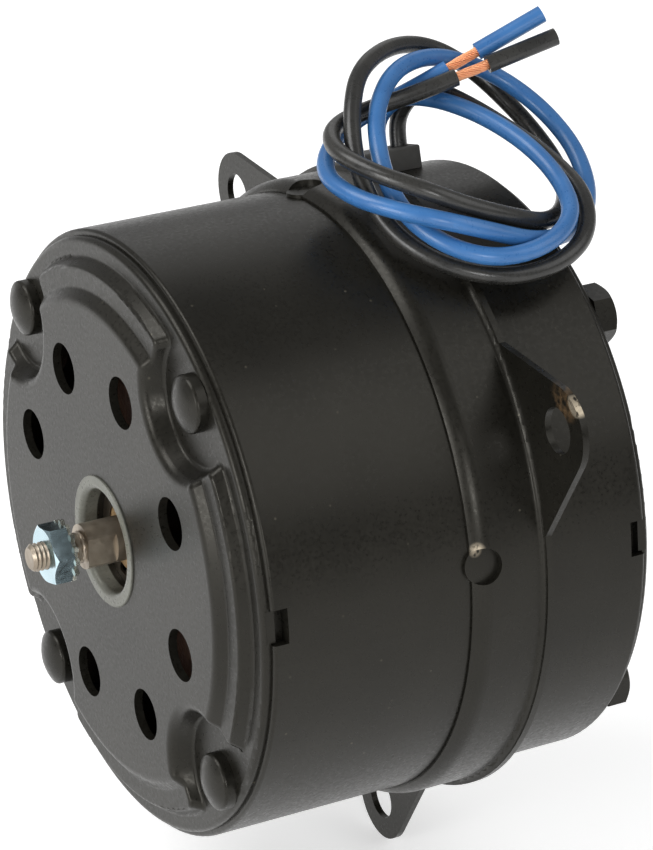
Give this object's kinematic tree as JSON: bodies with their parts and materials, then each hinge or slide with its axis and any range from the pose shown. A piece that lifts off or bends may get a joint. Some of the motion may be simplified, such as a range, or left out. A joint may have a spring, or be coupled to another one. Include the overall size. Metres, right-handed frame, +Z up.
{
  "type": "radiator fan motor",
  "caption": "Closed permanent-magnet motor in a steel tube case with a three-eared mounting ring, a threaded fan shaft and two loose leads.",
  "frame": {"origin": "centre of the three ear holes, on the front face of the ears", "axes": "-Y along the shaft toward the fan, +Z up, one ear pointing straight down"},
  "size_m": [0.1324, 0.1073, 0.1574],
  "materials": {
    "case_paint": "satin black enamel, dusty",
    "cap_paint": "satin black enamel, worn bare round the hub",
    "rear_cap_paint": "satin black enamel",
    "ring_paint": "satin black enamel, rubbed at the edges",
    "bolt_paint": "satin black enamel",
    "bolt_nut_paint": "satin black enamel",
    "shaft_steel": "turned, dull",
    "washer_zinc": "zinc plated",
    "nut_zinc": "zinc plated",
    "sintered_bronze": "oiled, dull",
    "retainer_steel": "plain spring steel",
    "oil_felt": "oil soaked felt",
    "washer_fibre": "plain",
    "spacer_steel": "plain",
    "core_steel": "stacked sheets",
    "core_paper": "pressed board",
    "winding_enamel": "varnished",
    "commutator_moulding": "moulded",
    "commutator_copper": "turned copper",
    "brush_plate_board": "laminated board",
    "screw_zinc": "zinc plated",
    "grommet_rubber": "matt",
    "holder_brass": "plain",
    "brush_carbon": "carbon",
    "spring_steel": "plain",
    "magnet_ferrite": "ground ferrite",
    "blue_insulation": "smooth",
    "black_insulation": "smooth",
    "bare_copper": "bright strands"
  },
  "bodies": {
    "motor": {"case_tube": "case_paint", "front_end_cap": "cap_paint", "rear_end_cap": "rear_cap_paint", "mounting_ring": "ring_paint", "through_bolts": "bolt_paint", "through_bolt_nuts": "bolt_nut_paint", "front_bearing": "sintered_bronze", "rear_bearing": "sintered_bronze", "front_bearing_retainer": "retainer_steel", "rear_bearing_retainer": "retainer_steel", "front_oil_felt": "oil_felt", "rear_oil_felt": "oil_felt", "brush_plate": "brush_plate_board", "brush_plate_screws": "screw_zinc", "lead_grommet": "grommet_rubber", "top_brush_holder": "holder_brass", "bottom_brush_holder": "holder_brass", "top_brush_spring": "spring_steel", "bottom_brush_spring": "spring_steel", "magnet_right": "magnet_ferrite", "magnet_top": "magnet_ferrite", "magnet_left": "magnet_ferrite", "magnet_bottom": "magnet_ferrite", "blue_lead": "blue_insulation", "black_lead": "black_insulation", "blue_lead_core": "bare_copper", "black_lead_core": "bare_copper", "blue_lead_slug": "blue_insulation", "black_lead_slug": "black_insulation"},
    "rotor": {"rotor_shaft": "shaft_steel", "toothed_washer": "washer_zinc", "shaft_nut": "nut_zinc", "front_thrust_washer": "washer_fibre", "rear_thrust_washer": "washer_fibre", "front_spacer": "spacer_steel", "rear_spacer": "spacer_steel", "armature_core": "core_steel", "front_core_insulator": "core_paper", "rear_core_insulator": "core_paper", "armature_winding": "winding_enamel", "commutator_hub": "commutator_moulding", "commutator_copper": "commutator_copper"},
    "top_brush_unit": {"top_brush": "brush_carbon"},
    "bottom_brush_unit": {"bottom_brush": "brush_carbon"}
  },
  "joints": [
    {"name": "rotor_spin", "type": "hinge", "parent": "motor", "child": "rotor", "pos_m": [0, 0, 0], "axis": [0, -1, 0], "continuous": true},
    {"name": "top_brush_slide", "type": "slide", "parent": "motor", "child": "top_brush_unit", "axis": [0, 0, 1], "range_m": [0, 0.004], "stiffness_N_per_m": 250, "springref_m": -0.006, "deforming": ["top_brush_spring"]},
    {"name": "bottom_brush_slide", "type": "slide", "parent": "motor", "child": "bottom_brush_unit", "axis": [0, 0, -1], "range_m": [0, 0.004], "stiffness_N_per_m": 250, "springref_m": -0.006, "deforming": ["bottom_brush_spring"]}
  ]
}
